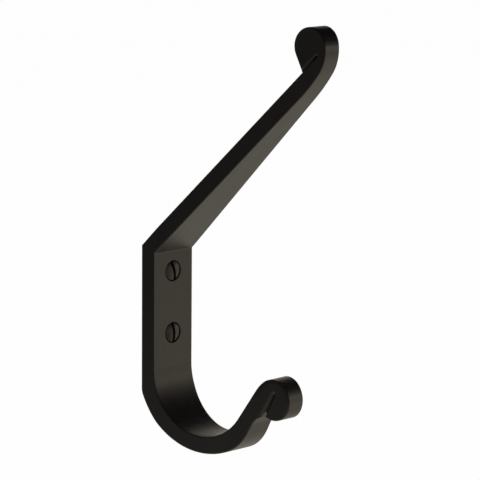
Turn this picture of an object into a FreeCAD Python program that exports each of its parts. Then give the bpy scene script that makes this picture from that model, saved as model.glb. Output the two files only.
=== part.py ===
# Hat and coat hook: one bent bar with a plate, an upper arm and a lower hook, and its two wood screws.
# Millimetres. +Z is up. The wall is the plane Y = 0, with the wall itself at +Y, and the hook stands
# out to -Y. The origin is on the plate's back face, midway between the two screws.
import FreeCAD, Part
import math
import os
import Sketcher

# Driving dimensions. Lengths are millimetres and angles are degrees. Each name is an alias in the sheet.
DIMENSIONS = {
    # The plate against the wall
    "plate_width": 20.0,
    "plate_thickness": 6.6,
    "fold_height": 19.4,
    "screw_spacing": 23.5,
    # The bar of the arm and of the hook
    "bar_thickness": 6.25,
    # Upper arm: its front side from the fold outwards, round the curl and down the curl's end
    "arm_angle": 47.0,
    "arm_straight": 92.8,
    "arm_sweep_radius": 71.0,
    "arm_sweep_turn": 9.9,
    "arm_crook_radius": 14.4,
    "arm_crook_turn": 43.1,
    "arm_curl_radius": 6.95,
    "arm_curl_turn": 200.4,
    "arm_taper_angle": 4.7,
    "arm_taper_start": 1.4,
    "arm_seam_length": 8.6,
    "arm_seam_mouth": 0.35,
    # Lower hook, inner side: down from the fold, round the bend, up the rise and over the curl
    "hook_drop": 43.8,
    "hook_bend_radius": 22.0,
    "hook_rise_angle": 34.6,
    "hook_rise_length": 14.7,
    "hook_shoulder_radius": 14.6,
    "hook_shoulder_turn": 18.2,
    "hook_curl_radius": 7.6,
    "hook_taper_angle": 5.9,
    "hook_taper_start": 1.4,
    # Lower hook, outer side: its bend is struck from a centre a little above and outside the inner one
    "outer_centre_rise": 4.0,
    "outer_centre_reach": 0.75,
    "heel_radius": 5.8,
    "outer_rise_radius": 19.1,
    "outer_rise_angle": 29.6,
    "outer_rise_length": 4.2,
    "cove_radius": 8.3,
    "cove_turn": 42.0,
    "hook_seam_angle": 31.5,
    "hook_seam_length": 10.6,
    "hook_seam_mouth": 1.2,
    # Both seams' narrow ends, the rounding of the long edges and the rounding inside the fold
    "seam_end": 0.2,
    "edge_radius": 0.4,
    "fold_radius": 0.8,
    # Slotted wood screws with raised countersunk heads. Length and shank count from the head's rim.
    "screw_length": 16.0,
    "head_diameter": 7.0,
    "head_rise": 0.9,
    "head_land": 0.68,
    "countersink_angle": 90.0,
    "shank_diameter": 3.5,
    "shank_length": 5.5,
    "shank_step": 0.8,
    "core_diameter": 2.5,
    "point_length": 3.5,
    "slot_width": 1.15,
    "slot_depth": 1.6,
    "upper_slot_angle": 14.0,
    "lower_slot_angle": 5.0,
    # Fit of the screws in the plate
    "hole_clearance": 0.5,
    "rim_clearance": 0.5,
    "rim_depth": 0.4,
    "seat_clearance": 0.02,
}

# How far a cut reaches past the bar's side, how many degrees a side face may turn from straight sideways,
# and how close two equal lengths are
CUT_MARGIN = 5.0
SIDE_TURN_ANGLE = 8.0
SAME_LENGTH = 0.01

# Sizes that follow from the sheet
HOLE_DIAMETER = "Dimensions.shank_diameter + Dimensions.hole_clearance"
HEAD_RECESS = ("(Dimensions.rim_depth + Dimensions.rim_clearance / tan(Dimensions.countersink_angle / 2 * 1 deg)"
               " - Dimensions.head_land - Dimensions.seat_clearance)")
ARM_REACH = ("Dimensions.arm_straight * sin(Dimensions.arm_angle * 1 deg)"
             " + Dimensions.arm_sweep_radius * sin(Dimensions.arm_sweep_turn * 1 deg)"
             " + Dimensions.arm_crook_radius + Dimensions.arm_curl_radius")
HOOK_REACH = ("2 * Dimensions.hook_bend_radius + Dimensions.hook_rise_length"
              " + 2 * Dimensions.hook_curl_radius")


def size(name):
    """One driving dimension as a number."""
    return DIMENSIONS[name]


def make_sheet(doc):
    """The spreadsheet with one driving dimension a row."""
    sheet = doc.addObject("Spreadsheet::Sheet", "Dimensions")
    for row, (name, value) in enumerate(DIMENSIONS.items(), start=1):
        sheet.set("A%d" % row, name)
        sheet.set("B%d" % row, str(value))
        sheet.setAlias("B%d" % row, name)
    doc.recompute()
    return sheet


def direction(heading):
    """Unit vector for a heading in degrees, counter-clockwise from the first axis."""
    angle = math.radians(heading)
    return FreeCAD.Vector(math.cos(angle), math.sin(angle), 0)


def left_of(heading):
    """Unit vector to the left of a heading."""
    return direction(heading + 90)


def origin_feature(body, role):
    """The body's own origin plane or axis with this role."""
    for feature in body.Origin.OriginFeatures:
        if feature.Role == role:
            return feature
    raise ValueError("no origin feature " + role)


def new_sketch(body, name, plane):
    """An empty sketch on one of the body's own origin planes."""
    sketch = body.newObject("Sketcher::SketchObject", name)
    sketch.AttachmentSupport = [(origin_feature(body, plane), "")]
    sketch.MapMode = "FlatFace"
    return sketch


class Chain:
    """A closed outline drawn segment by segment in a sketch, each segment known by a name."""

    def __init__(self, sketch):
        self.sketch = sketch
        self.names = []
        self.ends = {}

    def line(self, name, start, end):
        self.ends[name] = (self.sketch.addGeometry(Part.LineSegment(start, end)), 1, 2)
        self.names.append(name)

    def arc(self, name, centre, radius, start_heading, turn):
        """An arc that starts with this heading and turns by this many degrees, left being positive."""
        side = 90 if turn > 0 else -90
        first = math.radians(start_heading - side)
        last = first + math.radians(turn)
        circle = Part.Circle(centre, FreeCAD.Vector(0, 0, 1), radius)
        curve = Part.ArcOfCircle(circle, min(first, last), max(first, last))
        start_end = (1, 2) if turn > 0 else (2, 1)
        self.ends[name] = (self.sketch.addGeometry(curve),) + start_end
        self.names.append(name)

    def geometry(self, name):
        return self.ends[name][0]

    def start(self, name):
        return self.ends[name][0], self.ends[name][1]

    def end(self, name):
        return self.ends[name][0], self.ends[name][2]

    def join(self, smooth):
        """Joins each segment to the next one, tangent where its name is in smooth."""
        for name, following in zip(self.names, self.names[1:] + self.names[:1]):
            kind = "Tangent" if name in smooth else "Coincident"
            self.sketch.addConstraint(
                Sketcher.Constraint(kind, *self.end(name), *self.start(following)))


def drive(sketch, label, formula, kind, *arguments):
    """A dimension in the sketch that takes its value from the sheet."""
    value = sketch.evalExpression(formula)
    if kind == "Angle":
        value = math.radians(value)
    index = sketch.addConstraint(Sketcher.Constraint(kind, *arguments, value))
    sketch.renameConstraint(index, label)
    sketch.setExpression("Constraints." + label, formula)


def sheet_value(name):
    """The sheet's cell for one driving dimension, for use in an expression."""
    return "Dimensions." + name


def arm_layout():
    """Points of the upper arm's side view, where the sheet's sizes put them at the start."""
    fold = FreeCAD.Vector(-size("plate_thickness"), size("fold_height"), 0)
    heading = 90 + size("arm_angle")
    front_end = fold + direction(heading) * size("arm_straight")
    points = {"fold": fold, "front_end": front_end, "arm_heading": heading}
    place = front_end
    for bend in ("arm_sweep", "arm_crook", "arm_curl"):
        radius = size(bend + "_radius")
        centre = place - left_of(heading) * radius
        heading -= size(bend + "_turn")
        place = centre + left_of(heading) * radius
        points[bend + "_centre"] = centre
        points[bend + "_heading"] = heading
    back_side = -left_of(points["arm_heading"])
    back_point = fold + back_side * size("bar_thickness")
    along = direction(points["arm_heading"])
    points["back_corner"] = back_point - along * (back_point.x / along.x)
    # The curl's end runs down to the seam's mouth, a little above the arm's back
    descent = direction(heading)
    height = (place - back_point).dot(back_side) - size("arm_seam_mouth")
    points["curl_end"] = place
    points["seam_lip"] = place - descent * (height / descent.dot(back_side))
    lip_distance = (points["seam_lip"] - back_point).dot(along)
    points["seam_back"] = back_point + along * (lip_distance + size("arm_seam_length"))
    points["seam_front"] = points["seam_back"] + back_side * size("seam_end")
    return points


def hook_layout(fold):
    """Points of the lower hook's side view, where the sheet's sizes put them at the start."""
    radius = size("hook_bend_radius")
    thickness = size("bar_thickness")
    bend_start = fold - FreeCAD.Vector(0, size("hook_drop"), 0)
    bend_centre = bend_start - FreeCAD.Vector(radius, 0, 0)
    rise_heading = 90 + size("hook_rise_angle")
    rise_start = bend_centre + left_of(rise_heading) * radius
    rise_end = rise_start + direction(rise_heading) * size("hook_rise_length")
    shoulder_centre = rise_end + left_of(rise_heading) * size("hook_shoulder_radius")
    shoulder_heading = rise_heading + size("hook_shoulder_turn")
    shoulder_end = shoulder_centre - left_of(shoulder_heading) * size("hook_shoulder_radius")
    curl_centre = shoulder_end + left_of(shoulder_heading) * size("hook_curl_radius")

    outer_centre = bend_centre + FreeCAD.Vector(-size("outer_centre_reach"), size("outer_centre_rise"), 0)
    outer_radius = radius + thickness + size("outer_centre_rise")
    heel_radius = size("heel_radius")
    across = -outer_centre.x - heel_radius
    heel_drop = math.sqrt((outer_radius - heel_radius) ** 2 - across ** 2)
    heel_centre = FreeCAD.Vector(-heel_radius, outer_centre.y - heel_drop, 0)

    out_heading = 90 + size("outer_rise_angle")
    along, outward = direction(out_heading), left_of(out_heading)
    rise_radius = size("outer_rise_radius")
    offset = rise_start + outward * (thickness - rise_radius) - outer_centre
    room = offset.dot(along) ** 2 - offset.dot(offset) + (outer_radius - rise_radius) ** 2
    rise_centre = outer_centre + offset - along * (offset.dot(along) + math.sqrt(room))

    # The cove leaves the outer rise and ends on the seam's inner wall
    outer_rise_start = rise_centre + outward * rise_radius
    cove_heading = out_heading + size("cove_turn")
    cove_start = outer_rise_start + along * size("outer_rise_length")
    cove_centre = cove_start + outward * size("cove_radius")
    cove_end = cove_centre - left_of(cove_heading) * size("cove_radius")

    seam_heading = 90 + size("hook_seam_angle")
    seam_side = left_of(seam_heading)
    seam_back = cove_end + direction(seam_heading) * size("hook_seam_length")
    seam_front = seam_back + seam_side * size("seam_end")
    # The seam's lip lies on the curl, the width of the seam's mouth from the inner wall
    from_centre = (cove_end - curl_centre).dot(seam_side) + size("hook_seam_mouth")
    depth = math.sqrt(size("hook_curl_radius") ** 2 - from_centre ** 2)
    seam_lip = curl_centre + seam_side * from_centre - direction(seam_heading) * depth
    lip_turn = math.degrees(math.atan2(seam_lip.y - curl_centre.y, seam_lip.x - curl_centre.x))
    curl_turn = (lip_turn + 90 - shoulder_heading) % 360
    return {
        "bend_start": bend_start, "bend_centre": bend_centre, "rise_start": rise_start,
        "rise_end": rise_end, "rise_heading": rise_heading, "shoulder_centre": shoulder_centre,
        "shoulder_heading": shoulder_heading, "curl_centre": curl_centre, "curl_turn": curl_turn,
        "outer_centre": outer_centre, "outer_radius": outer_radius, "heel_centre": heel_centre,
        "out_heading": out_heading, "rise_centre": rise_centre,
        "outer_rise_start": outer_rise_start, "cove_start": cove_start,
        "cove_end": cove_end, "cove_centre": cove_centre, "cove_heading": cove_heading,
        "seam_back": seam_back, "seam_front": seam_front, "seam_lip": seam_lip,
    }


def heading_between(centre, other):
    """Heading of the line from one centre to another."""
    return math.degrees(math.atan2(other.y - centre.y, other.x - centre.x))


def draw_profile(sketch):
    """The hook's side view as one closed chain, drawn from the plate's back corner up and round."""
    arm = arm_layout()
    hook = hook_layout(arm["fold"])
    chain = Chain(sketch)
    chain.line("arm_back", arm["back_corner"], arm["seam_back"])
    chain.line("arm_seam_end", arm["seam_back"], arm["seam_front"])
    chain.line("arm_seam_wall", arm["seam_front"], arm["seam_lip"])
    chain.line("arm_end", arm["seam_lip"], arm["curl_end"])
    heading = arm["arm_curl_heading"] + 180
    for bend in ("arm_curl", "arm_crook", "arm_sweep"):
        turn = size(bend + "_turn")
        chain.arc(bend, arm[bend + "_centre"], size(bend + "_radius"), heading, turn)
        heading += turn
    chain.line("arm_front", arm["front_end"], arm["fold"])
    chain.line("plate_front", arm["fold"], hook["bend_start"])
    chain.arc("hook_bend", hook["bend_centre"], size("hook_bend_radius"), -90,
              size("hook_rise_angle") - 180)
    chain.line("hook_rise", hook["rise_start"], hook["rise_end"])
    chain.arc("hook_shoulder", hook["shoulder_centre"], size("hook_shoulder_radius"),
              hook["rise_heading"], size("hook_shoulder_turn"))
    chain.arc("hook_curl", hook["curl_centre"], size("hook_curl_radius"),
              hook["shoulder_heading"], hook["curl_turn"])
    chain.line("hook_seam_wall", hook["seam_lip"], hook["seam_front"])
    chain.line("hook_seam_end", hook["seam_front"], hook["seam_back"])
    chain.line("hook_seam_back", hook["seam_back"], hook["cove_end"])
    chain.arc("cove", hook["cove_centre"], size("cove_radius"), hook["cove_heading"] + 180,
              -size("cove_turn"))
    chain.line("outer_rise", hook["cove_start"], hook["outer_rise_start"])
    joint_heading = heading_between(hook["outer_centre"], hook["rise_centre"])
    heel_heading = heading_between(hook["outer_centre"], hook["heel_centre"])
    chain.arc("outer_rise_bend", hook["rise_centre"], size("outer_rise_radius"),
              hook["out_heading"] + 180, (joint_heading - hook["out_heading"] - 90) % 360)
    chain.arc("outer_bend", hook["outer_centre"], hook["outer_radius"], joint_heading + 90,
              (heel_heading - joint_heading) % 360)
    chain.arc("heel", hook["heel_centre"], size("heel_radius"), heel_heading + 90,
              -heel_heading % 360)
    back_low = FreeCAD.Vector(0, hook["heel_centre"].y, 0)
    chain.line("plate_back", back_low, arm["back_corner"])
    return chain


def constrain_profile(sketch, chain):
    """Ties the side view's segments to each other and to the sheet."""
    chain.join(smooth={"arm_end", "arm_curl", "arm_crook", "arm_sweep", "plate_front", "hook_bend",
                       "hook_rise", "hook_shoulder", "cove", "outer_rise", "outer_rise_bend",
                       "outer_bend", "heel"})
    root, vertical_axis = (-1, 1), -2
    front, back = chain.geometry("plate_front"), chain.geometry("plate_back")
    arm_front, arm_back = chain.geometry("arm_front"), chain.geometry("arm_back")
    sketch.addConstraint([
        Sketcher.Constraint("PointOnObject", *chain.start("plate_back"), vertical_axis),
        Sketcher.Constraint("Vertical", back),
        Sketcher.Constraint("Vertical", front),
        Sketcher.Constraint("Parallel", arm_front, arm_back),
        Sketcher.Constraint("Perpendicular", chain.geometry("arm_seam_end"), arm_back),
        Sketcher.Constraint("Perpendicular", chain.geometry("hook_seam_end"),
                            chain.geometry("hook_seam_back")),
    ])

    def tie(label, kind, *arguments, formula=None):
        drive(sketch, label, formula or sheet_value(label), kind, *arguments)

    tie("plate_thickness", "DistanceX", *chain.start("plate_front"), *root)
    tie("fold_height", "DistanceY", *root, *chain.start("plate_front"))
    tie("arm_angle", "Angle", *chain.end("arm_front"), *chain.start("plate_front"),
        formula="180 - Dimensions.arm_angle")
    tie("arm_straight", "Distance", arm_front)
    tie("arm_thickness", "Distance", *chain.start("plate_front"), arm_back,
        formula=sheet_value("bar_thickness"))
    for bend in ("arm_sweep", "arm_crook", "arm_curl"):
        tie(bend + "_radius", "Radius", chain.geometry(bend))
        tie(bend + "_turn", "Angle", chain.geometry(bend))
    tie("arm_seam_mouth", "Distance", *chain.start("arm_end"), arm_back)
    tie("arm_seam_end", "Distance", chain.geometry("arm_seam_end"), formula=sheet_value("seam_end"))
    tie("arm_seam_length", "Distance", chain.geometry("arm_seam_wall"))

    tie("hook_drop", "Distance", front)
    tie("hook_bend_radius", "Radius", chain.geometry("hook_bend"))
    tie("hook_bend_turn", "Angle", chain.geometry("hook_bend"),
        formula="180 - Dimensions.hook_rise_angle")
    tie("hook_rise_length", "Distance", chain.geometry("hook_rise"))
    tie("hook_shoulder_radius", "Radius", chain.geometry("hook_shoulder"))
    tie("hook_shoulder_turn", "Angle", chain.geometry("hook_shoulder"))
    tie("hook_curl_radius", "Radius", chain.geometry("hook_curl"))

    bend_centre = (chain.geometry("hook_bend"), 3)
    outer_centre = (chain.geometry("outer_bend"), 3)
    tie("outer_centre_reach", "DistanceX", *outer_centre, *bend_centre)
    tie("outer_centre_rise", "DistanceY", *bend_centre, *outer_centre)
    tie("outer_bend_radius", "Radius", chain.geometry("outer_bend"),
        formula="Dimensions.hook_bend_radius + Dimensions.bar_thickness + Dimensions.outer_centre_rise")
    tie("heel_radius", "Radius", chain.geometry("heel"))
    tie("outer_rise_radius", "Radius", chain.geometry("outer_rise_bend"))
    tie("outer_rise_angle", "Angle", *chain.start("plate_back"), *chain.end("outer_rise"))
    tie("outer_rise_thickness", "Distance", *chain.start("hook_rise"), chain.geometry("outer_rise"),
        formula=sheet_value("bar_thickness"))
    tie("outer_rise_length", "Distance", chain.geometry("outer_rise"))
    tie("cove_radius", "Radius", chain.geometry("cove"))
    tie("cove_turn", "Angle", chain.geometry("cove"))
    tie("hook_seam_angle", "Angle", *chain.start("plate_back"), *chain.end("hook_seam_back"))
    tie("hook_seam_length", "Distance", chain.geometry("hook_seam_back"))
    tie("hook_seam_mouth", "Distance", *chain.end("hook_curl"), chain.geometry("hook_seam_back"))
    tie("hook_seam_end", "Distance", chain.geometry("hook_seam_end"), formula=sheet_value("seam_end"))


def make_bar(body):
    """The side view, drawn out to the plate's width."""
    sketch = new_sketch(body, "SideView", "YZ_Plane")
    chain = draw_profile(sketch)
    constrain_profile(sketch, chain)
    pad = body.newObject("PartDesign::Pad", "Bar")
    pad.Profile = sketch
    pad.Midplane = True
    pad.setExpression("Length", sheet_value("plate_width"))


def make_taper(body, name, limb, reach, upward):
    """Narrows the arm or the hook: a wedge cut off one side, widening away from the plate."""
    sketch = new_sketch(body, name + "Wedge", "XY_Plane")
    side = size("plate_width") / 2
    start = -size("plate_thickness") - size(limb + "_taper_start")
    length = sketch.evalExpression(reach)
    narrowed = side - length * math.tan(math.radians(size(limb + "_taper_angle")))
    corners = [FreeCAD.Vector(side, start, 0), FreeCAD.Vector(side + CUT_MARGIN, start, 0),
               FreeCAD.Vector(side + CUT_MARGIN, start - length, 0),
               FreeCAD.Vector(narrowed, start - length, 0)]
    chain = Chain(sketch)
    for edge, first, second in zip(("near", "outside", "far", "slant"), corners,
                                   corners[1:] + corners[:1]):
        chain.line(edge, first, second)
    chain.join(smooth=())
    sketch.addConstraint([
        Sketcher.Constraint("Horizontal", chain.geometry("near")),
        Sketcher.Constraint("Horizontal", chain.geometry("far")),
        Sketcher.Constraint("Vertical", chain.geometry("outside")),
        Sketcher.Constraint("Distance", chain.geometry("near"), CUT_MARGIN),
    ])
    root = (-1, 1)
    drive(sketch, "side", "Dimensions.plate_width / 2", "DistanceX", *root, *chain.start("near"))
    drive(sketch, "start", "Dimensions.plate_thickness + Dimensions.%s_taper_start" % limb,
          "DistanceY", *chain.start("near"), *root)
    drive(sketch, "reach", reach, "DistanceY", *chain.end("outside"), *chain.start("outside"))
    drive(sketch, "taper", "90 + " + sheet_value(limb + "_taper_angle"), "Angle",
          *chain.end("slant"), *chain.start("near"))
    pocket = body.newObject("PartDesign::Pocket", name)
    pocket.Profile = sketch
    pocket.Type = "ThroughAll"
    pocket.Reversed = upward
    return pocket


def mirror_tapers(body, tapers):
    """The same wedges off the other side."""
    mirrored = body.newObject("PartDesign::Mirrored", "OtherSide")
    mirrored.Originals = tapers
    mirrored.MirrorPlane = (origin_feature(body, "YZ_Plane"), [""])
    body.Tip = mirrored


def side_edges(shape):
    """Names of the edges where one of the bar's sides ends, apart from the seams' narrow ends."""
    least = math.cos(math.radians(SIDE_TURN_ANGLE))
    sides = [face for face in shape.Faces if abs(face.normalAt(0, 0).x) > least]
    names = []
    for index, edge in enumerate(shape.Edges, start=1):
        touching = [face for face in sides if any(edge.isSame(other) for other in face.Edges)]
        if len(touching) == 1 and edge.Length > size("seam_end") + SAME_LENGTH:
            names.append("Edge%d" % index)
    return names


def round_edges(body):
    """Eases the long edges, all round the bar and down both seams."""
    body.Document.recompute()
    tapered = body.Tip
    fillet = body.newObject("PartDesign::Fillet", "EasedEdges")
    fillet.Base = (tapered, side_edges(tapered.Shape))
    fillet.setExpression("Radius", sheet_value("edge_radius"))


def round_fold(body):
    """Eases the inner corner where the arm leaves the plate."""
    body.Document.recompute()
    eased = body.Tip
    corner = Part.Vertex(0, -size("plate_thickness"), size("fold_height"))
    distances = [edge.distToShape(corner)[0] for edge in eased.Shape.Edges]
    fillet = body.newObject("PartDesign::Fillet", "EasedFold")
    fillet.Base = (eased, ["Edge%d" % (distances.index(min(distances)) + 1)])
    fillet.setExpression("Radius", sheet_value("fold_radius"))


def make_screw_holes(body):
    """Two countersunk holes through the plate, one above the origin and one below it."""
    sketch = new_sketch(body, "ScrewCentres", "XZ_Plane")
    sketch.setExpression(".AttachmentOffset.Base.z", sheet_value("plate_thickness"))
    radius = (size("shank_diameter") + size("hole_clearance")) / 2
    rise = FreeCAD.Vector(0, size("screw_spacing") / 2, 0)
    axis = FreeCAD.Vector(0, 0, 1)
    upper = sketch.addGeometry(Part.Circle(rise, axis, radius))
    lower = sketch.addGeometry(Part.Circle(-rise, axis, radius))
    root, vertical_axis = (-1, 1), -2
    sketch.addConstraint([
        Sketcher.Constraint("PointOnObject", upper, 3, vertical_axis),
        Sketcher.Constraint("Symmetric", upper, 3, lower, 3, *root),
        Sketcher.Constraint("Equal", upper, lower),
    ])
    drive(sketch, "spacing", sheet_value("screw_spacing"), "DistanceY", lower, 3, upper, 3)
    drive(sketch, "bore", HOLE_DIAMETER, "Diameter", upper)
    body.Document.recompute()
    hole = body.newObject("PartDesign::Hole", "ScrewHoles")
    hole.Profile = sketch
    hole.DepthType = "ThroughAll"
    hole.setExpression("Diameter", HOLE_DIAMETER)
    hole.HoleCutType = "Counterdrill"
    hole.HoleCutCustomValues = True
    hole.setExpression("HoleCutDepth", sheet_value("rim_depth"))
    hole.setExpression("HoleCutDiameter", "Dimensions.head_diameter + 2 * Dimensions.rim_clearance")
    hole.setExpression("HoleCutCountersinkAngle", sheet_value("countersink_angle"))


def make_hook(doc):
    """The hook itself: one bar, bent at the plate's top and foot and folded back into a curl at each end."""
    body = doc.addObject("PartDesign::Body", "hook")
    make_bar(body)
    tapers = [make_taper(body, "ArmTaper", "arm", ARM_REACH, upward=True),
              make_taper(body, "HookTaper", "hook", HOOK_REACH, upward=False)]
    mirror_tapers(body, tapers)
    round_edges(body)
    round_fold(body)
    make_screw_holes(body)
    return body


def turn_screw(body):
    """The screw as a solid of revolution about Y, with its head's rim at the body's origin."""
    sketch = new_sketch(body, "TurnedSide", "YZ_Plane")
    head, shank = size("head_diameter") / 2, size("shank_diameter") / 2
    core, rise = size("core_diameter") / 2, size("head_rise")
    dome = (head ** 2 + rise ** 2) / (2 * rise)
    dome_turn = math.degrees(math.asin(head / dome))
    neck = size("head_land") + (head - shank) / math.tan(math.radians(size("countersink_angle") / 2))
    outline = {
        "land": (0, head), "head_cone": (size("head_land"), head), "shank": (neck, shank),
        "step": (size("shank_length"), shank),
        "core": (size("shank_length") + size("shank_step"), core),
        "point": (size("screw_length") - size("point_length"), core),
        "axis": (size("screw_length"), 0),
    }
    names = list(outline)
    corners = [FreeCAD.Vector(*outline[name], 0) for name in names]
    crown = FreeCAD.Vector(-rise, 0, 0)
    chain = Chain(sketch)
    chain.arc("dome", FreeCAD.Vector(dome - rise, 0, 0), dome, 90, -dome_turn)
    for name, first, second in zip(names, corners, corners[1:] + [crown]):
        chain.line(name, first, second)
    chain.join(smooth=())
    root, turning_axis, rim_axis = (-1, 1), -1, -2
    sketch.addConstraint([
        Sketcher.Constraint("PointOnObject", *chain.start("dome"), turning_axis),
        Sketcher.Constraint("PointOnObject", chain.geometry("dome"), 3, turning_axis),
        Sketcher.Constraint("PointOnObject", *chain.start("land"), rim_axis),
        Sketcher.Constraint("Horizontal", chain.geometry("land")),
        Sketcher.Constraint("Horizontal", chain.geometry("shank")),
        Sketcher.Constraint("Horizontal", chain.geometry("core")),
        Sketcher.Constraint("Horizontal", chain.geometry("axis")),
    ])
    for label, formula, kind, first, second in (
            ("head", "Dimensions.head_diameter / 2", "DistanceY", root, chain.start("land")),
            ("rise", "Dimensions.head_rise", "DistanceX", chain.start("dome"), root),
            ("land", "Dimensions.head_land", "DistanceX", chain.start("land"), chain.end("land")),
            ("shank", "Dimensions.shank_diameter / 2", "DistanceY", root, chain.start("shank")),
            ("length_shank", "Dimensions.shank_length", "DistanceX", root, chain.end("shank")),
            ("step", "Dimensions.shank_step", "DistanceX", chain.start("step"), chain.end("step")),
            ("core", "Dimensions.core_diameter / 2", "DistanceY", root, chain.start("core")),
            ("point", "Dimensions.point_length", "DistanceX", chain.start("point"), chain.end("point")),
            ("length_all", "Dimensions.screw_length", "DistanceX", root, chain.end("point"))):
        drive(sketch, label, formula, kind, *first, *second)
    drive(sketch, "countersink", "180 - Dimensions.countersink_angle / 2", "Angle",
          *chain.end("land"), *chain.start("head_cone"))
    turned = body.newObject("PartDesign::Revolution", "Turned")
    turned.Profile = sketch
    turned.ReferenceAxis = (sketch, ["H_Axis"])
    turned.Angle = 360


def cut_slot(body):
    """The slot across the head, open at both ends, from the crown down."""
    sketch = new_sketch(body, "SlotFloor", "XZ_Plane")
    sketch.setExpression(".AttachmentOffset.Base.z", "Dimensions.head_rise - Dimensions.slot_depth")
    half = FreeCAD.Vector(size("slot_width") / 2, size("head_diameter") / 2 + CUT_MARGIN, 0)
    corners = [FreeCAD.Vector(-half.x, -half.y, 0), FreeCAD.Vector(half.x, -half.y, 0),
               FreeCAD.Vector(half.x, half.y, 0), FreeCAD.Vector(-half.x, half.y, 0)]
    chain = Chain(sketch)
    for name, first, second in zip(("low", "right", "top", "left"), corners, corners[1:] + corners[:1]):
        chain.line(name, first, second)
    chain.join(smooth=())
    sketch.addConstraint([
        Sketcher.Constraint("Horizontal", chain.geometry("low")),
        Sketcher.Constraint("Horizontal", chain.geometry("top")),
        Sketcher.Constraint("Vertical", chain.geometry("right")),
        Sketcher.Constraint("Vertical", chain.geometry("left")),
        Sketcher.Constraint("Symmetric", *chain.start("low"), *chain.start("top"), -1, 1),
    ])
    drive(sketch, "width", sheet_value("slot_width"), "DistanceX", *chain.start("low"), *chain.end("low"))
    drive(sketch, "run", "Dimensions.head_diameter + %s" % (2 * CUT_MARGIN), "DistanceY",
          *chain.start("right"), *chain.end("right"))
    pocket = body.newObject("PartDesign::Pocket", "Slot")
    pocket.Profile = sketch
    pocket.Type = "ThroughAll"
    pocket.Reversed = True


def make_screw(doc, name, side):
    """One wood screw, seated in the plate's countersink above the origin (side 1) or below it (-1)."""
    body = doc.addObject("PartDesign::Body", name + "_screw")
    turn_screw(body)
    cut_slot(body)
    # The slot's top leans towards -X, so the turn is taken about -Y
    body.Placement = FreeCAD.Placement(FreeCAD.Vector(0, -1, side),
                                       FreeCAD.Rotation(FreeCAD.Vector(0, -1, 0), 1))
    body.setExpression(".Placement.Rotation.Angle", "Dimensions.%s_slot_angle" % name)
    body.setExpression(".Placement.Base.y", HEAD_RECESS + " - Dimensions.plate_thickness")
    body.setExpression(".Placement.Base.z", "%d * Dimensions.screw_spacing / 2" % side)
    return body


def check_model(doc, bodies):
    """Stops the script where a feature failed or a solid is missing or faulty."""
    for item in doc.Objects:
        if "Invalid" in item.State or "Error" in item.State:
            raise RuntimeError("%s failed: %s" % (item.Name, item.State))
    for item in doc.findObjects("Sketcher::SketchObject"):
        if not item.FullyConstrained:
            raise RuntimeError(item.Name + " isn't fully constrained")
    for body in bodies:
        shape = body.Shape
        if shape.isNull() or not shape.isValid() or len(shape.Solids) != 1:
            raise RuntimeError(body.Label + " isn't one valid solid")


def check_cuts(doc):
    """Stops the script where a cut took nothing off."""
    for kind in ("PartDesign::Pocket", "PartDesign::Hole", "PartDesign::Mirrored"):
        for cut in doc.findObjects(kind):
            if cut.Shape.Volume >= cut.BaseFeature.Shape.Volume:
                raise RuntimeError(cut.Name + " cut nothing")


def main():
    doc = FreeCAD.newDocument("Hook")
    make_sheet(doc)
    bodies = [make_hook(doc), make_screw(doc, "upper", 1), make_screw(doc, "lower", -1)]
    doc.recompute()
    check_model(doc, bodies)
    check_cuts(doc)
    os.makedirs("parts", exist_ok=True)
    for body in bodies:
        body.Shape.exportStep("parts/%s.step" % body.Label)
        print(body.Label, "%.1f mm3" % body.Shape.Volume, body.Shape.BoundBox)


main()
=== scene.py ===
"""Looks of the hat and coat hook: its satin black coat, its screws' threads, the light and the camera."""
import math

import bmesh
import bpy
from mathutils import Matrix, Vector


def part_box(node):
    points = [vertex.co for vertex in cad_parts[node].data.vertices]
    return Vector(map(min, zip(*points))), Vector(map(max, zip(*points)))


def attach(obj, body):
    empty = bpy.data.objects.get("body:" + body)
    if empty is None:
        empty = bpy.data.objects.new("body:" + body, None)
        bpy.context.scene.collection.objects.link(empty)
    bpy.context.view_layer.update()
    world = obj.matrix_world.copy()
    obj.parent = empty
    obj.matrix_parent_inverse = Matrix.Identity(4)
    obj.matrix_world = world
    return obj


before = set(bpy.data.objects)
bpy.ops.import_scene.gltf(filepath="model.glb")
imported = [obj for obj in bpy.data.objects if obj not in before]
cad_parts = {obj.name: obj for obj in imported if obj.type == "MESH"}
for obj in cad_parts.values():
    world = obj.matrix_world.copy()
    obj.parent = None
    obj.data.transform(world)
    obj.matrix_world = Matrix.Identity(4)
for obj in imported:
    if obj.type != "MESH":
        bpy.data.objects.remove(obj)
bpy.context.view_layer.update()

# Lengths are metres and angles are degrees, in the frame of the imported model
MILLIMETRE = 0.001
WHITE = (1, 1, 1, 1)
BLACK = (0, 0, 0, 1)
UP = Vector((0, 0, 1))
DOWN = Vector((0, 0, -1))

# Camera: the photograph's viewing angle, from far enough away for its mild perspective
CAMERA_AZIMUTH = -45.52
CAMERA_ELEVATION = 9.96
CAMERA_ROLL = 0.46
CAMERA_DISTANCE = 1.0
CAMERA_AIM = Vector((0.01638, -0.02530, 0.02383))
CAMERA_NEAR = 0.05
CAMERA_FAR = 50.0
FOCAL_PIXELS = 2691.3
PHOTO_PIXELS = 480
SENSOR_WIDTH = 36.0

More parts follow.
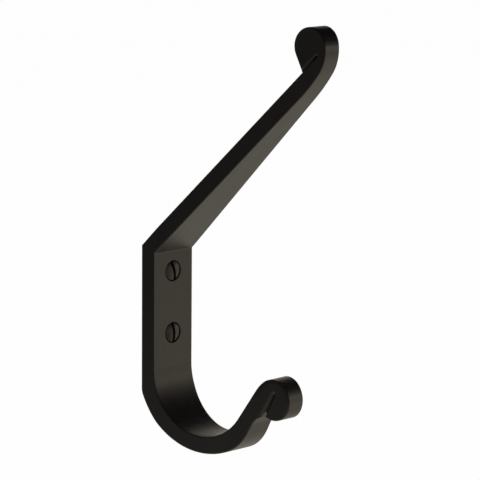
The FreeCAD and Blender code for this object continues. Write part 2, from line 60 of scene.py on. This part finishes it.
# Studio. As the coat's reflections see them, the surroundings are painted white up to a little above the
# horizon on the right and in front, and painted dark overhead, behind the camera and to the left of the
# object. Reflections alone see what ends in IN_COAT: these are painted reflections.
FLOOR_DROP = 0.15
FLOOR_SIZE = 12.0
FLOOR_COLOUR = (0.93, 0.93, 0.93, 1)
FLOOR_SHARE = 0.95
AMBIENT = 0.8
# Painted reflections: the room and the floor as only the coat's reflections see them
ROOM_IN_COAT = (1.0, 0.93, 0.84, 1)
FLOOR_IN_COAT = (0.53, 0.492, 0.43, 1)
CEILING_HEIGHT = 0.42
CEILING_SIZE = 6.0
CEILING_DARK_RADIUS = 0.70
CEILING_FADE_RADIUS = 2.8

# Cards, which only the coat sees: glowing and dark sheets that paint reflections on the coat and light
# nothing. The side card's stops are shares of its height and the brightness of the painted reflection at
# each.
SIDE_PAINTED_REFLECTIONS = ((0.36, 0.17), (0.42, 0.065), (0.62, 0.115))
SIDE_CARD_AZIMUTH = -135.0
SIDE_CARD_DISTANCE = 0.32
SIDE_CARD_SIZE = 1.1
# Wall card: a pale sheet that paints a reflection of a lit wall on the coat
WALL_PAINTED_REFLECTION = (0.60, 0.56, 0.50, 1)
WALL_CARD_RISE = 0.45
WALL_CARD_AZIMUTH = 135.0
WALL_CARD_DISTANCE = 0.8
WALL_CARD_SIZE = 0.84
# Back card: a dark sheet that paints a dark reflection behind the camera
BACK_PAINTED_REFLECTION = (0.02, 0.02, 0.02, 1)
BACK_CARD_DISTANCE = 1.3
BACK_CARD_SIZE = 2.0
# Left card: a dark sheet on the floor to the left that paints a dark reflection
LEFT_PAINTED_REFLECTION = (0.05, 0.05, 0.05, 1)
LEFT_CARD_SIZE = 2.0
LEFT_CARD_EDGE = -0.36
# A panel is drawn one metre square and then sized, so its own coordinates run this far from its middle
PANEL_HALF = 0.5

# Painted pool of light on the floor, which only reflections see, so tall that its own height plays no part
POOL_CENTRE = (0.42, -0.54)
POOL_RADIUS = 0.72
POOL_HEIGHT = 1000
POOL_IN_COAT = (1.0, 0.93, 0.82, 1)

# Key lamp
KEY_AZIMUTH = 42.0
KEY_ELEVATION = 25.0
KEY_DISTANCE = 2.4
KEY_SIZE = 1.6
KEY_POWER = 9.0
KEY_COLOUR = (1.0, 0.96, 0.90)

# Surfaces: the darkest and palest tones, the shine, the roughness, and the height of the brush lines
COAT_DEEP = (0.0035, 0.0033, 0.0033, 1)
COAT_PALE = (0.0045, 0.0042, 0.0041, 1)
COAT_SPECULAR = 0.65
COAT_ROUGHNESS = 0.34
COAT_GRAIN = 0.09 * MILLIMETRE
SCREW_DEEP = (0.0034, 0.0032, 0.0032, 1)
SCREW_PALE = (0.0046, 0.0044, 0.0042, 1)
SCREW_SPECULAR = 0.52
SCREW_ROUGHNESS = 0.38
SCREW_GRAIN = 0.02 * MILLIMETRE

# Grain of both: the brush ran along the bar, so its lines change quickly across the width and slowly along
# it. Each noise has its scale, its detail and its roughness, and NOISE_RANGE is where most of its values lie.
SHINE_TINT = (1.0, 0.93, 0.82, 1)
BRUSH_STRETCH = (1100, 45, 45)
BRUSH_NOISE = (1.0, 4.0, 0.65)
PEEL_NOISE = (900.0, 2.0, 0.5)
CLOUD_NOISE = (60.0, 3.0, 0.55)
NOISE_RANGE = (0.3, 0.7)
ROUGHNESS_SPREAD = 0.05
BRUSH_STRENGTH = 0.5
PEEL_STRENGTH = 0.3

# Curls: both were forged round, so the rims of their discs roll off softly over ROLL_WIDTH, all but where the
# bar runs into them. ROLL_START and ROLL_FULL are shares of the way towards the open side.
ROLL_WIDTH = 1.9 * MILLIMETRE
ROLL_DEPTH = 0.5
ROLL_START = -0.5
ROLL_FULL = 0.2
ROLL_POWER = 2.0
TOP_CURL_RADIUS = 6.95 * MILLIMETRE
TOP_CURL_OPEN = Vector((0, 0.28, 0.96))
LOW_CURL_RADIUS = 7.6 * MILLIMETRE
LOW_CURL_OPEN = Vector((0, -0.5, 0.87))

# Seams: each lip's start at the mouth and its end in the hook's side view (Y, Z), and the side that its bar
# lies on. A bead of coat has run into each seam. A seam's numbers are its widths at the mouth and at the end,
# half the bead's width across the bar, and the share of the seam that the bead fills, counted from the end.
UPPER_LIP = (Vector((0, -75.23, 92.42)) * MILLIMETRE, Vector((0, -81.62, 98.17)) * MILLIMETRE)
UPPER_LIP_SIDE = Vector((0, 0.67, 0.74))
UPPER_SEAM = (0.35 * MILLIMETRE, 0.20 * MILLIMETRE, 4.36 * MILLIMETRE, 1.0)
LOWER_LIP = (Vector((0, -57.68, -34.55)) * MILLIMETRE, Vector((0, -63.22, -25.51)) * MILLIMETRE)
LOWER_LIP_SIDE = Vector((0, 0.85, 0.52))
LOWER_SEAM = (1.2 * MILLIMETRE, 0.20 * MILLIMETRE, 4.5 * MILLIMETRE, 0.72)
LIP_WIDTH = 1.8 * MILLIMETRE
LIP_DEPTH = 0.6
LIP_FADE = 1.5 * MILLIMETRE
LIP_CLIFF = 0.12 * MILLIMETRE
BEAD_OVERLAP = 0.05 * MILLIMETRE

# Thread of the wood screws, counted along +Y from the plate's back. Its flanks reach THREAD_FLANK of a pitch
# to each side and its foot is sunk into the core. At the screw's point, the crest comes up to its height
# CREST_GROWTH times sooner than the core does, and the flanks keep at least POINT_FLANK of their reach.
THREAD_PITCH = 1.5 * MILLIMETRE
THREAD_CREST = 1.75 * MILLIMETRE
THREAD_ROOT = 1.22 * MILLIMETRE
THREAD_FOOT = 0.9
THREAD_FLANK = 0.3
THREAD_START = -0.2 * MILLIMETRE
THREAD_END_GAP = 0.2 * MILLIMETRE
THREAD_TIP_LENGTH = 3.5 * MILLIMETRE
CREST_GROWTH = 2
POINT_FLANK = 0.1
STEPS_PER_TURN = 36
THREAD_SMOOTH_ANGLE = 40.0


def direction(azimuth, elevation):
    """Unit vector towards a viewer at this azimuth and elevation, as the frame counts them."""
    a, e = math.radians(azimuth), math.radians(elevation)
    return Vector((math.sin(a) * math.cos(e), -math.cos(a) * math.cos(e), math.sin(e)))


def link(tree, source, output, target, entry):
    """Joins one node's output to another's entry."""
    tree.links.new(source.outputs[output], target.inputs[entry])


def add_node(tree, kind, **settings):
    """A node whose sockets and properties are set by name."""
    node = tree.nodes.new(kind)
    for name, value in settings.items():
        if name in node.inputs:
            node.inputs[name].default_value = value
        else:
            setattr(node, name, value)
    return node


def new_material(name):
    """A material with an empty node tree."""
    material = bpy.data.materials.new(name)
    material.use_nodes = True
    tree = material.node_tree
    tree.nodes.clear()
    return material, tree


def remap(tree, source, output, low, high, start, end):
    """A value run linearly from low..high to start..end, and held there beyond."""
    node = tree.nodes.new("ShaderNodeMapRange")
    for entry, value in (("From Min", low), ("From Max", high), ("To Min", start), ("To Max", end)):
        node.inputs[entry].default_value = value
    link(tree, source, output, node, "Value")
    return node


def combine(tree, operation, *values):
    """A maths node on numbers or on the first output of other nodes."""
    node = add_node(tree, "ShaderNodeMath", operation=operation)
    for index, value in enumerate(values):
        if isinstance(value, (int, float)):
            node.inputs[index].default_value = value
        else:
            link(tree, value, 0, node, index)
    return node


def noise(tree, source, output, scale, detail, roughness):
    """Soft noise over these coordinates."""
    node = add_node(tree, "ShaderNodeTexNoise", Scale=scale, Detail=detail, Roughness=roughness)
    link(tree, source, output, node, "Vector")
    return node


def arm_from(tree, flat, point):
    """The way from a point to each place."""
    arm = add_node(tree, "ShaderNodeVectorMath", operation="SUBTRACT")
    link(tree, flat, 0, arm, 0)
    arm.inputs[1].default_value = point
    return arm


def share_along(tree, arm, axis):
    """How far an arm reaches along an axis."""
    reach = add_node(tree, "ShaderNodeVectorMath", operation="DOT_PRODUCT")
    link(tree, arm, 0, reach, 0)
    reach.inputs[1].default_value = axis
    return reach


def nearness_within(tree, coordinates):
    """One at the origin of these coordinates, and down to nothing at one unit from it."""
    nearness = add_node(tree, "ShaderNodeTexGradient", gradient_type="SPHERICAL")
    link(tree, coordinates, "Vector", nearness, "Vector")
    return nearness


def curls():
    """Centre, radius and open side of the hook's two curls in its side view; the centres are placed from its
    solid, and the radii and open sides are given.
    """
    low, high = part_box("hook")
    points = [vertex.co for vertex in bpy.data.objects["hook"].data.vertices]
    front = min((point for point in points if point.z < 0), key=lambda point: point.y)
    top = Vector((0, low.y + TOP_CURL_RADIUS, high.z - TOP_CURL_RADIUS))
    lower = Vector((0, front.y + LOW_CURL_RADIUS, front.z))
    return (top, TOP_CURL_RADIUS, TOP_CURL_OPEN), (lower, LOW_CURL_RADIUS, LOW_CURL_OPEN)


def seam_lip(tree, flat, lip, side):
    """Height that rolls down into a seam along the lip above it."""
    start, end = lip
    length = (end - start).length
    arm = arm_from(tree, flat, start)
    inward = share_along(tree, arm, side)
    along = share_along(tree, arm, (end - start).normalized())
    fall = combine(tree, "POWER", remap(tree, inward, "Value", 0, LIP_WIDTH, 1, 0), ROLL_POWER)
    cliff = remap(tree, inward, "Value", -LIP_CLIFF, 0, 0, 1)
    begun = remap(tree, along, "Value", -LIP_FADE, 0, 0, 1)
    ended = remap(tree, along, "Value", length, length + LIP_FADE, 1, 0)
    kept = combine(tree, "MULTIPLY", combine(tree, "MULTIPLY", begun, ended), cliff)
    return combine(tree, "MULTIPLY", combine(tree, "MULTIPLY", fall, kept), LIP_DEPTH)


def rolled_rim(tree, flat, centre, radius, open_side):
    """Height that rolls off towards the rim of a curl's disc, round its open side."""
    arm = arm_from(tree, flat, centre)
    reach = add_node(tree, "ShaderNodeVectorMath", operation="LENGTH")
    link(tree, arm, 0, reach, 0)
    unit = add_node(tree, "ShaderNodeVectorMath", operation="NORMALIZE")
    link(tree, arm, 0, unit, 0)
    opened = remap(tree, share_along(tree, unit, open_side), "Value", ROLL_START, ROLL_FULL, 0, 1)
    rim = remap(tree, reach, "Value", radius - ROLL_WIDTH, radius, 0, 1)
    rolled = combine(tree, "MULTIPLY", combine(tree, "POWER", rim, ROLL_POWER), opened)
    return combine(tree, "MULTIPLY", rolled, ROLL_DEPTH)


def rolled_edges(tree, place):
    """Height in millimetres that rolls off the rims of both curls' discs and the lips of both seams."""
    split = add_node(tree, "ShaderNodeSeparateXYZ")
    link(tree, place, "Object", split, 0)
    flat = add_node(tree, "ShaderNodeCombineXYZ")
    link(tree, split, "Y", flat, "Y")
    link(tree, split, "Z", flat, "Z")
    total = 0.0
    for centre, radius, open_side in curls():
        total = combine(tree, "ADD", total, rolled_rim(tree, flat, centre, radius, open_side))
    for lip, side in ((UPPER_LIP, UPPER_LIP_SIDE), (LOWER_LIP, LOWER_LIP_SIDE)):
        total = combine(tree, "ADD", total, seam_lip(tree, flat, lip, side))
    return combine(tree, "MULTIPLY", total, -1.0)


def coated_metal(name, deep, pale, specular, roughness, grain_depth, curled=False):
    """Satin black coat over brushed metal: fine lines along the bar and a faint orange peel."""
    material, tree = new_material(name)
    place = add_node(tree, "ShaderNodeTexCoord")
    stretch = add_node(tree, "ShaderNodeMapping")
    stretch.inputs["Scale"].default_value = BRUSH_STRETCH
    link(tree, place, "Object", stretch, "Vector")
    lines = noise(tree, stretch, "Vector", *BRUSH_NOISE)
    peel = noise(tree, place, "Object", *PEEL_NOISE)
    cloud = noise(tree, place, "Object", *CLOUD_NOISE)

    colour = add_node(tree, "ShaderNodeValToRGB")
    for element, position, tone in zip(colour.color_ramp.elements, NOISE_RANGE, (deep, pale)):
        element.position = position
        element.color = tone
    link(tree, cloud, "Fac", colour, "Fac")
    rough = (roughness - ROUGHNESS_SPREAD, roughness + ROUGHNESS_SPREAD)
    gloss = remap(tree, lines, "Fac", *NOISE_RANGE, *rough)

    brushed = add_node(tree, "ShaderNodeBump", Strength=BRUSH_STRENGTH, Distance=grain_depth)
    link(tree, lines, "Fac", brushed, "Height")
    peeled = add_node(tree, "ShaderNodeBump", Strength=PEEL_STRENGTH, Distance=grain_depth)
    link(tree, peel, "Fac", peeled, "Height")
    link(tree, brushed, "Normal", peeled, "Normal")
    if curled:
        rolled = add_node(tree, "ShaderNodeBump", Strength=1.0, Distance=MILLIMETRE)
        link(tree, rolled_edges(tree, place), 0, rolled, "Height")
        link(tree, rolled, "Normal", brushed, "Normal")

    shader = add_node(tree, "ShaderNodeBsdfPrincipled")
    shader.inputs["Specular IOR Level"].default_value = specular
    shader.inputs["Specular Tint"].default_value = SHINE_TINT
    link(tree, colour, "Color", shader, "Base Color")
    link(tree, gloss, "Result", shader, "Roughness")
    link(tree, peeled, "Normal", shader, "Normal")
    out = add_node(tree, "ShaderNodeOutputMaterial")
    link(tree, shader, "BSDF", out, "Surface")
    return material


def dress(piece, material):
    """Gives a piece one material."""
    piece.data.materials.clear()
    piece.data.materials.append(material)


def mesh_object(name, mesh_data):
    """An object in the scene, made of this mesh data."""
    mesh = bpy.data.meshes.new(name)
    mesh_data.to_mesh(mesh)
    mesh_data.free()
    piece = bpy.data.objects.new(name, mesh)
    bpy.context.scene.collection.objects.link(piece)
    return piece


def bridge(form, first, second):
    """Joins two rings of corners with a band of four-sided faces."""
    for index in range(len(first)):
        following = (index + 1) % len(first)
        form.faces.new((first[index], first[following], second[following], second[index]))


def thread(node):
    """The helical thread of one wood screw, round its core and down to its point."""
    low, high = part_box(node)
    centre = (low + high) / 2
    end = high.y - THREAD_END_GAP
    turns = (end - THREAD_START) / THREAD_PITCH
    steps = int(turns * STEPS_PER_TURN)
    form = bmesh.new()
    rings = []
    for step in range(steps + 1):
        share = step / steps
        y = THREAD_START + share * (end - THREAD_START)
        angle = 2 * math.pi * turns * share
        # The thread grows out of the shank at its start and narrows with the point at its end
        grown = min(1.0, share * turns)
        tip = min(1.0, (end - y) / THREAD_TIP_LENGTH)
        root = THREAD_ROOT * tip
        foot = root * THREAD_FOOT
        crest = root + (THREAD_CREST - THREAD_ROOT) * grown * min(1.0, tip * CREST_GROWTH)
        half = THREAD_FLANK * THREAD_PITCH
        ring = []
        for radius, shift in ((foot, -half), (root, -half), (crest, 0.0), (root, half), (foot, half)):
            across, flank = radius * math.cos(angle), shift * max(tip, POINT_FLANK)
            ring.append(form.verts.new((centre.x + across, y + flank, centre.z + radius * math.sin(angle))))
        rings.append(ring)
    for first, second in zip(rings, rings[1:]):
        bridge(form, first, second)
    form.faces.new(list(reversed(rings[0])))
    form.faces.new(rings[-1])
    bmesh.ops.recalc_face_normals(form, faces=form.faces)
    piece = mesh_object(node + "_thread", form)
    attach(piece, "root")
    return piece


def seam_bead(name, lip, side, seam):
    """The coat that has run into a seam and closed it, set back from the bar's sides."""
    start, end = lip
    mouth, narrow, half_width, reach = seam
    start = end + (start - end) * reach
    mouth = narrow + (mouth - narrow) * reach
    sunk = side * BEAD_OVERLAP
    corners = (start + sunk, end + sunk, end - side * narrow - sunk, start - side * mouth - sunk)
    form = bmesh.new()
    near = [form.verts.new(Vector((-half_width, 0, 0)) + corner) for corner in corners]
    far = [form.verts.new(Vector((half_width, 0, 0)) + corner) for corner in corners]
    form.faces.new(near)
    form.faces.new(list(reversed(far)))
    bridge(form, near, far)
    bmesh.ops.recalc_face_normals(form, faces=form.faces)
    piece = mesh_object(name, form)
    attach(piece, "root")
    return piece


def smooth_by_angle(piece, angle):
    """Smooth shading across the curved faces, with the real edges left crisp."""
    for polygon in piece.data.polygons:
        polygon.use_smooth = True
    piece.data.set_sharp_from_angle(angle=math.radians(angle))


def camera_white(tree, plain, share, in_coat, pool=None):
    """A shader mixed with white as the camera or a clear body sees it, and with in_coat as a gloss does: a
    painted reflection.
    """
    seen = add_node(tree, "ShaderNodeLightPath")
    mirror = add_node(tree, "ShaderNodeMath", operation="MAXIMUM")
    link(tree, seen, "Is Camera Ray", mirror, 0)
    link(tree, seen, "Is Glossy Ray", mirror, 1)
    either = add_node(tree, "ShaderNodeMath", operation="MAXIMUM")
    link(tree, mirror, "Value", either, 0)
    link(tree, seen, "Is Transmission Ray", either, 1)
    weight = combine(tree, "MULTIPLY", either, share)
    # Glossy rays see in_coat, or the painted pool of light, in place of white: a painted reflection on the
    # coat
    tone = add_node(tree, "ShaderNodeMixRGB", Color1=WHITE, Color2=in_coat)
    link(tree, seen, "Is Glossy Ray", tone, "Fac")
    if pool:
        link(tree, pool, "Color", tone, "Color2")
    white = add_node(tree, "ShaderNodeBackground" if plain.type == "BACKGROUND" else "ShaderNodeEmission")
    white.inputs["Strength"].default_value = 1.0
    link(tree, tone, "Color", white, "Color")
    mixed = add_node(tree, "ShaderNodeMixShader")
    link(tree, weight, "Value", mixed, 0)
    link(tree, plain, 0, mixed, 1)
    link(tree, white, 0, mixed, 2)
    return mixed


def plane(name, centre, normal, size):
    """A square panel that faces along normal."""
    form = bmesh.new()
    bmesh.ops.create_grid(form, x_segments=1, y_segments=1, size=PANEL_HALF)
    panel = mesh_object(name, form)
    turn = normal.to_track_quat("Z", "Y").to_matrix().to_4x4()
    panel.matrix_world = Matrix.Translation(centre) @ turn @ Matrix.Diagonal((size, size, 1, 1))
    return panel


def painted_light_pool(tree):
    """The floor as a reflection sees it, with a painted pool of light: paler to the right of the hook and in
    front of it.
    """
    place = add_node(tree, "ShaderNodeNewGeometry")
    centred = add_node(tree, "ShaderNodeMapping", vector_type="TEXTURE")
    centred.inputs["Location"].default_value = POOL_CENTRE + (0,)
    centred.inputs["Scale"].default_value = (POOL_RADIUS, POOL_RADIUS, POOL_HEIGHT)
    link(tree, place, "Position", centred, "Vector")
    pool = add_node(tree, "ShaderNodeMixRGB", Color1=FLOOR_IN_COAT, Color2=POOL_IN_COAT)
    link(tree, nearness_within(tree, centred), "Fac", pool, "Fac")
    return pool


def make_floor(lowest):
    """A pale floor that keeps the hook's shadow, and that reflections see as a darker tone with a painted
    pool of light.
    """
    floor = plane("floor", Vector((0, 0, lowest - FLOOR_DROP)), UP, FLOOR_SIZE)
    material, tree = new_material("floor_paper")
    paper = add_node(tree, "ShaderNodeBsdfDiffuse", Color=FLOOR_COLOUR)
    out = add_node(tree, "ShaderNodeOutputMaterial")
    shown = camera_white(tree, paper, FLOOR_SHARE, FLOOR_IN_COAT, painted_light_pool(tree))
    link(tree, shown, 0, out, "Surface")
    dress(floor, material)


def make_world():
    """Even light from all round, shown as white, and seen as a warm white in reflections: a painted
    reflection.
    """
    world = bpy.data.worlds.new("studio")
    bpy.context.scene.world = world
    world.use_nodes = True
    tree = world.node_tree
    tree.nodes.clear()
    dim = add_node(tree, "ShaderNodeBackground")
    dim.inputs["Color"].default_value = WHITE
    dim.inputs["Strength"].default_value = AMBIENT
    out = add_node(tree, "ShaderNodeOutputWorld")
    link(tree, camera_white(tree, dim, 1.0, ROOM_IN_COAT), 0, out, "Surface")


def make_card(name, centre, facing, size, light):
    """A card outside the picture, which only the reflections on the coat can see, and its shader: a glowing
    or dark sheet that paints a reflection and lights nothing.
    """
    card = plane(name, centre, facing, size)
    card.visible_camera = False
    card.visible_diffuse = False
    card.visible_shadow = False
    material, tree = new_material(name)
    glow = add_node(tree, "ShaderNodeEmission", Color=light, Strength=1.0)
    out = add_node(tree, "ShaderNodeOutputMaterial")
    link(tree, glow, 0, out, "Surface")
    dress(card, material)
    return tree, glow


def make_side_card(middle):
    """Painted reflection to the left of the hook: dark grey, a little paler towards its foot and its top."""
    aside = direction(SIDE_CARD_AZIMUTH, 0)
    tree, glow = make_card("side_card", middle + aside * SIDE_CARD_DISTANCE, -aside, SIDE_CARD_SIZE, BLACK)
    place = add_node(tree, "ShaderNodeTexCoord")
    split = add_node(tree, "ShaderNodeSeparateXYZ")
    link(tree, place, "Object", split, 0)
    height = add_node(tree, "ShaderNodeMath", operation="ADD")
    link(tree, split, "Y", height, 0)
    height.inputs[1].default_value = PANEL_HALF
    fade = add_node(tree, "ShaderNodeValToRGB")
    # The ramp starts with two stops, and takes the third between them
    fade.color_ramp.elements.new(0.5)
    for element, (share, light) in zip(fade.color_ramp.elements, SIDE_PAINTED_REFLECTIONS):
        element.position = share
        element.color = (light, light, light, 1)
    link(tree, height, 0, fade, "Fac")
    link(tree, fade, "Color", glow, "Color")


def make_ceiling(middle):
    """Painted reflection overhead: dark, and paler towards the ceiling's edge, as a lit room is."""
    tree, glow = make_card("ceiling", middle + UP * CEILING_HEIGHT, DOWN, CEILING_SIZE, BLACK)
    place = add_node(tree, "ShaderNodeTexCoord")
    spread = add_node(tree, "ShaderNodeMapping")
    spread.inputs["Scale"].default_value = (1 / PANEL_HALF, 1 / PANEL_HALF, 1 / PANEL_HALF)
    link(tree, place, "Object", spread, "Vector")
    fade = add_node(tree, "ShaderNodeValToRGB")
    stops = ((CEILING_FADE_RADIUS, ROOM_IN_COAT), (CEILING_DARK_RADIUS, BLACK))
    for element, (radius, colour) in zip(fade.color_ramp.elements, stops):
        element.position = 1 - radius / (CEILING_SIZE / 2)
        element.color = colour
    link(tree, nearness_within(tree, spread), "Fac", fade, "Fac")
    link(tree, fade, "Color", glow, "Color")


def make_lamp(name, towards, distance, size, power, colour, middle):
    """A soft square lamp that shines on the hook, and that its coat doesn't mirror."""
    lamp = bpy.data.lights.new(name, "AREA")
    lamp.shape = "SQUARE"
    lamp.size = size
    lamp.energy = power
    lamp.color = colour
    holder = bpy.data.objects.new(name, lamp)
    holder.location = middle + towards * distance
    holder.rotation_mode = "QUATERNION"
    holder.rotation_quaternion = towards.to_track_quat("Z", "Y")
    holder.visible_glossy = False
    bpy.context.scene.collection.objects.link(holder)


def make_camera():
    """The photograph's camera."""
    lens = bpy.data.cameras.new("camera")
    lens.sensor_width = SENSOR_WIDTH
    lens.lens = FOCAL_PIXELS / PHOTO_PIXELS * SENSOR_WIDTH
    lens.clip_start = CAMERA_NEAR
    lens.clip_end = CAMERA_FAR
    back = direction(CAMERA_AZIMUTH, CAMERA_ELEVATION)
    level = Vector((math.cos(math.radians(CAMERA_AZIMUTH)), math.sin(math.radians(CAMERA_AZIMUTH)), 0))
    upright = back.cross(level)
    roll = math.radians(CAMERA_ROLL)
    across = level * math.cos(roll) + upright * math.sin(roll)
    up = upright * math.cos(roll) - level * math.sin(roll)
    camera = bpy.data.objects.new("camera", lens)
    turn = Matrix((across, up, back)).transposed().to_4x4()
    camera.matrix_world = Matrix.Translation(CAMERA_AIM + back * CAMERA_DISTANCE) @ turn
    bpy.context.scene.collection.objects.link(camera)
    bpy.context.scene.camera = camera


def dress_pieces():
    """Coats the hook and its screws, and adds the screws' threads and the beads in the seams."""
    coat_look = (COAT_DEEP, COAT_PALE, COAT_SPECULAR, COAT_ROUGHNESS, COAT_GRAIN)
    screw_look = (SCREW_DEEP, SCREW_PALE, SCREW_SPECULAR, SCREW_ROUGHNESS, SCREW_GRAIN)
    coat = coated_metal("satin_black_coat", *coat_look, curled=True)
    blacked = coated_metal("blacked_steel", *screw_look)
    for name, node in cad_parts.items():
        dress(node, coat if name == "hook" else blacked)
    for name in ("upper_screw", "lower_screw"):
        piece = thread(name)
        smooth_by_angle(piece, THREAD_SMOOTH_ANGLE)
        dress(piece, blacked)
    beads = coated_metal("coat_in_seams", *coat_look)
    dress(seam_bead("upper_seam_bead", UPPER_LIP, UPPER_LIP_SIDE, UPPER_SEAM), beads)
    dress(seam_bead("lower_seam_bead", LOWER_LIP, LOWER_LIP_SIDE, LOWER_SEAM), beads)


def make_studio():
    """Floor, surroundings, the cards that paint the coat's reflections, the key lamp and the camera."""
    hook_low, hook_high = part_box("hook")
    middle = (hook_low + hook_high) / 2
    make_floor(hook_low.z)
    make_world()
    make_ceiling(middle)
    make_side_card(middle)
    behind = direction(CAMERA_AZIMUTH, 0)
    make_card("back_card", middle + behind * BACK_CARD_DISTANCE, -behind, BACK_CARD_SIZE, BACK_PAINTED_REFLECTION)
    away = direction(WALL_CARD_AZIMUTH, 0)
    raised = middle + away * WALL_CARD_DISTANCE + UP * WALL_CARD_RISE
    make_card("wall_card", raised, -away, WALL_CARD_SIZE, WALL_PAINTED_REFLECTION)
    left = Vector((LEFT_CARD_EDGE - LEFT_CARD_SIZE / 2, middle.y, hook_low.z - FLOOR_DROP + MILLIMETRE))
    make_card("left_card", left, UP, LEFT_CARD_SIZE, LEFT_PAINTED_REFLECTION)
    towards_key = direction(KEY_AZIMUTH, KEY_ELEVATION)
    make_lamp("key", towards_key, KEY_DISTANCE, KEY_SIZE, KEY_POWER, KEY_COLOUR, middle)
    make_camera()


bpy.context.scene.view_settings.view_transform = "Standard"
dress_pieces()
make_studio()
